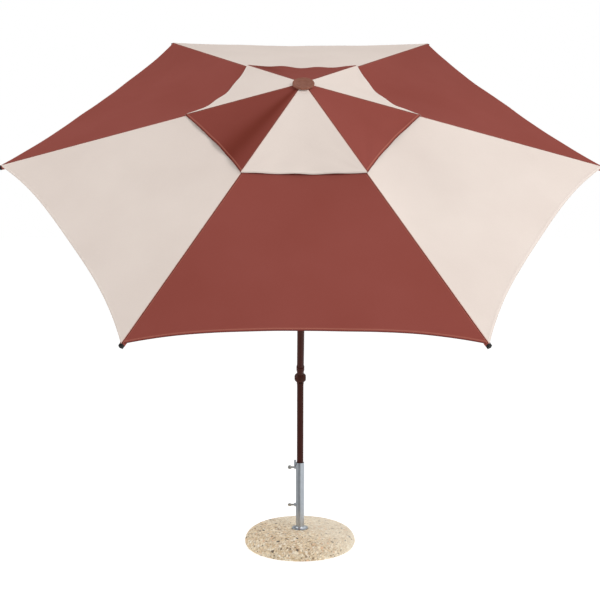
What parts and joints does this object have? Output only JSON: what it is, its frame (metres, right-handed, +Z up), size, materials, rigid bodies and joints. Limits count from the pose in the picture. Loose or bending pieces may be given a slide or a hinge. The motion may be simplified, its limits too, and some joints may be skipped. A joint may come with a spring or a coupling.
{
  "type": "tilting patio umbrella with base",
  "caption": "Hexagonal patio umbrella in red and ecru gores with a vented top, tilting pole and folding ribs, on a round washed-concrete base.",
  "frame": {"origin": "centre of the base's flat underside, on the floor", "axes": "+Z up along the lower pole, the canopy leans towards -Y, +X along the tilt hinge"},
  "size_m": [3.0132, 2.2357, 2.9519],
  "materials": {
    "washed_concrete": "exposed washed aggregate, matt",
    "galvanised_steel": "hot-dip galvanised, satin",
    "zinc_plated_steel": "bright zinc plated",
    "brown_pole_paint": "dark brown powder coat, satin",
    "brown_moulding": "dark brown moulded plastic",
    "finial_brown": "brown moulded plastic, satin",
    "black_plastic": "black moulded plastic",
    "terracotta_fabric": "woven polyester canvas, terracotta red",
    "ecru_fabric": "woven polyester canvas, ecru"
  },
  "bodies": {
    "base": {"concrete_base": "washed_concrete", "base_tube": "galvanised_steel", "base_flange": "galvanised_steel", "screw_nuts": "galvanised_steel", "tube_tab": "galvanised_steel"},
    "screw_upper": {"screw_upper": "zinc_plated_steel"},
    "screw_lower": {"screw_lower": "zinc_plated_steel"},
    "pole_foot": {"pole_foot": "black_plastic"},
    "lower_mast": {"lower_pole": "brown_pole_paint", "knuckle_shell_left": "brown_moulding", "knuckle_shell_right": "brown_moulding", "pivot_bolt": "zinc_plated_steel", "pivot_nut": "zinc_plated_steel", "button_spring": "zinc_plated_steel"},
    "tilt_button": {"tilt_button": "brown_moulding"},
    "upper_mast": {"knuckle_tongue": "brown_moulding", "knuckle_collar": "brown_pole_paint", "upper_pole": "brown_pole_paint", "crown_hub": "brown_moulding", "crown_pins": "zinc_plated_steel", "finial": "finial_brown", "finial_stud": "zinc_plated_steel"},
    "runner": {"runner": "brown_moulding", "runner_rivets": "zinc_plated_steel", "latch_spring": "zinc_plated_steel"},
    "runner_latch": {"runner_latch": "brown_moulding"},
    "rib_1": {"rib_1": "brown_pole_paint", "rib_cap_1": "black_plastic", "main_gore_1": "terracotta_fabric", "vent_gore_1": "ecru_fabric"},
    "strut_1": {"strut_1": "brown_pole_paint"},
    "rib_2": {"rib_2": "brown_pole_paint", "rib_cap_2": "black_plastic", "main_gore_2": "ecru_fabric", "vent_gore_2": "terracotta_fabric"},
    "strut_2": {"strut_2": "brown_pole_paint"},
    "rib_3": {"rib_3": "brown_pole_paint", "rib_cap_3": "black_plastic", "main_gore_3": "terracotta_fabric", "vent_gore_3": "ecru_fabric"},
    "strut_3": {"strut_3": "brown_pole_paint"},
    "rib_4": {"rib_4": "brown_pole_paint", "rib_cap_4": "black_plastic", "main_gore_4": "ecru_fabric", "vent_gore_4": "terracotta_fabric"},
    "strut_4": {"strut_4": "brown_pole_paint"},
    "rib_5": {"rib_5": "brown_pole_paint", "rib_cap_5": "black_plastic", "main_gore_5": "terracotta_fabric", "vent_gore_5": "ecru_fabric"},
    "strut_5": {"strut_5": "brown_pole_paint"},
    "rib_6": {"rib_6": "brown_pole_paint", "rib_cap_6": "black_plastic", "main_gore_6": "ecru_fabric", "vent_gore_6": "terracotta_fabric"},
    "strut_6": {"strut_6": "brown_pole_paint"}
  },
  "joints": [
    {"name": "screw_upper_turn", "type": "hinge", "parent": "base", "child": "screw_upper", "pos_m": [-0.035, 0, 0.462], "axis": [1, 0, 0], "continuous": true},
    {"name": "screw_lower_turn", "type": "hinge", "parent": "base", "child": "screw_lower", "pos_m": [-0.035, 0, 0.2335], "axis": [1, 0, 0], "continuous": true},
    {"name": "pole_lift", "type": "slide", "parent": "base", "child": "pole_foot", "axis": [0, 0, 1], "range_m": [0, 0.45]},
    {"name": "pole_turn", "type": "hinge", "parent": "pole_foot", "child": "lower_mast", "pos_m": [0, 0, 0.04], "axis": [0, 0, 1], "continuous": true},
    {"name": "knuckle_tilt", "type": "hinge", "parent": "lower_mast", "child": "upper_mast", "pos_m": [0, 0, 1], "axis": [1, 0, 0], "range_deg": [-34, 0]},
    {"name": "tilt_button_press", "type": "slide", "parent": "lower_mast", "child": "tilt_button", "axis": [1, 0, 0], "range_m": [0, 0.004], "stiffness_N_per_m": 700, "springref_m": -0.004, "deforming": ["button_spring"]},
    {"name": "runner_slide", "type": "slide", "parent": "upper_mast", "child": "runner", "axis": [0, 0.5592, -0.829], "range_m": [0, 0.95441]},
    {"name": "runner_latch_press", "type": "slide", "parent": "runner", "child": "runner_latch", "axis": [0, 0.829, 0.5592], "range_m": [0, 0.004], "stiffness_N_per_m": 700, "springref_m": -0.004, "deforming": ["latch_spring"]},
    {"name": "rib_1_fold", "type": "hinge", "parent": "upper_mast", "child": "rib_1", "pos_m": [0.036, -1.0688, 2.58456], "axis": [0, 0.829, 0.5592], "range_deg": [0, 70.01], "deforming": ["main_gore_1", "vent_gore_1"]},
    {"name": "strut_1_swing", "type": "hinge", "parent": "rib_1", "child": "strut_1", "pos_m": [0.69986, -0.94419, 2.39982], "axis": [0, 0.829, 0.5592], "range_deg": [-140.02, 0]},
    {"name": "rib_2_fold", "type": "hinge", "parent": "upper_mast", "child": "rib_2", "pos_m": [0.018, -1.04295, 2.60199], "axis": [-0.866, 0.4145, 0.2796], "range_deg": [0, 70.01], "deforming": ["main_gore_2", "vent_gore_2"]},
    {"name": "strut_2_swing", "type": "hinge", "parent": "rib_2", "child": "strut_2", "pos_m": [0.34993, -0.44172, 2.73875], "axis": [-0.866, 0.4145, 0.2796], "range_deg": [-140.02, 0]},
    {"name": "rib_3_fold", "type": "hinge", "parent": "upper_mast", "child": "rib_3", "pos_m": [-0.018, -1.04295, 2.60199], "axis": [-0.866, -0.4145, -0.2796], "range_deg": [0, 70.01], "deforming": ["main_gore_3", "vent_gore_3"]},
    {"name": "strut_3_swing", "type": "hinge", "parent": "rib_3", "child": "strut_3", "pos_m": [-0.34993, -0.44172, 2.73875], "axis": [-0.866, -0.4145, -0.2796], "range_deg": [-140.02, 0]},
    {"name": "rib_4_fold", "type": "hinge", "parent": "upper_mast", "child": "rib_4", "pos_m": [-0.036, -1.0688, 2.58456], "axis": [0, -0.829, -0.5592], "range_deg": [0, 70.01], "deforming": ["main_gore_4", "vent_gore_4"]},
    {"name": "strut_4_swing", "type": "hinge", "parent": "rib_4", "child": "strut_4", "pos_m": [-0.69986, -0.94419, 2.39982], "axis": [0, -0.829, -0.5592], "range_deg": [-140.02, 0]},
    {"name": "rib_5_fold", "type": "hinge", "parent": "upper_mast", "child": "rib_5", "pos_m": [-0.018, -1.09464, 2.56712], "axis": [0.866, -0.4145, -0.2796], "range_deg": [0, 70.01], "deforming": ["main_gore_5", "vent_gore_5"]},
    {"name": "strut_5_swing", "type": "hinge", "parent": "rib_5", "child": "strut_5", "pos_m": [-0.34993, -1.44667, 2.0609], "axis": [0.866, -0.4145, -0.2796], "range_deg": [-140.02, 0]},
    {"name": "rib_6_fold", "type": "hinge", "parent": "upper_mast", "child": "rib_6", "pos_m": [0.018, -1.09464, 2.56712], "axis": [0.866, 0.4145, 0.2796], "range_deg": [0, 70.01], "deforming": ["main_gore_6", "vent_gore_6"]},
    {"name": "strut_6_swing", "type": "hinge", "parent": "rib_6", "child": "strut_6", "pos_m": [0.34993, -1.44667, 2.0609], "axis": [0.866, 0.4145, 0.2796], "range_deg": [-140.02, 0]}
  ],
  "couplings": [
    {"joint": "rib_1_fold", "follows": "runner_slide", "rad_per_m": 1.2801},
    {"joint": "strut_1_swing", "follows": "runner_slide", "rad_per_m": -2.5602},
    {"joint": "rib_2_fold", "follows": "runner_slide", "rad_per_m": 1.2801},
    {"joint": "strut_2_swing", "follows": "runner_slide", "rad_per_m": -2.5602},
    {"joint": "rib_3_fold", "follows": "runner_slide", "rad_per_m": 1.2801},
    {"joint": "strut_3_swing", "follows": "runner_slide", "rad_per_m": -2.5602},
    {"joint": "rib_4_fold", "follows": "runner_slide", "rad_per_m": 1.2801},
    {"joint": "strut_4_swing", "follows": "runner_slide", "rad_per_m": -2.5602},
    {"joint": "rib_5_fold", "follows": "runner_slide", "rad_per_m": 1.2801},
    {"joint": "strut_5_swing", "follows": "runner_slide", "rad_per_m": -2.5602},
    {"joint": "rib_6_fold", "follows": "runner_slide", "rad_per_m": 1.2801},
    {"joint": "strut_6_swing", "follows": "runner_slide", "rad_per_m": -2.5602}
  ]
}
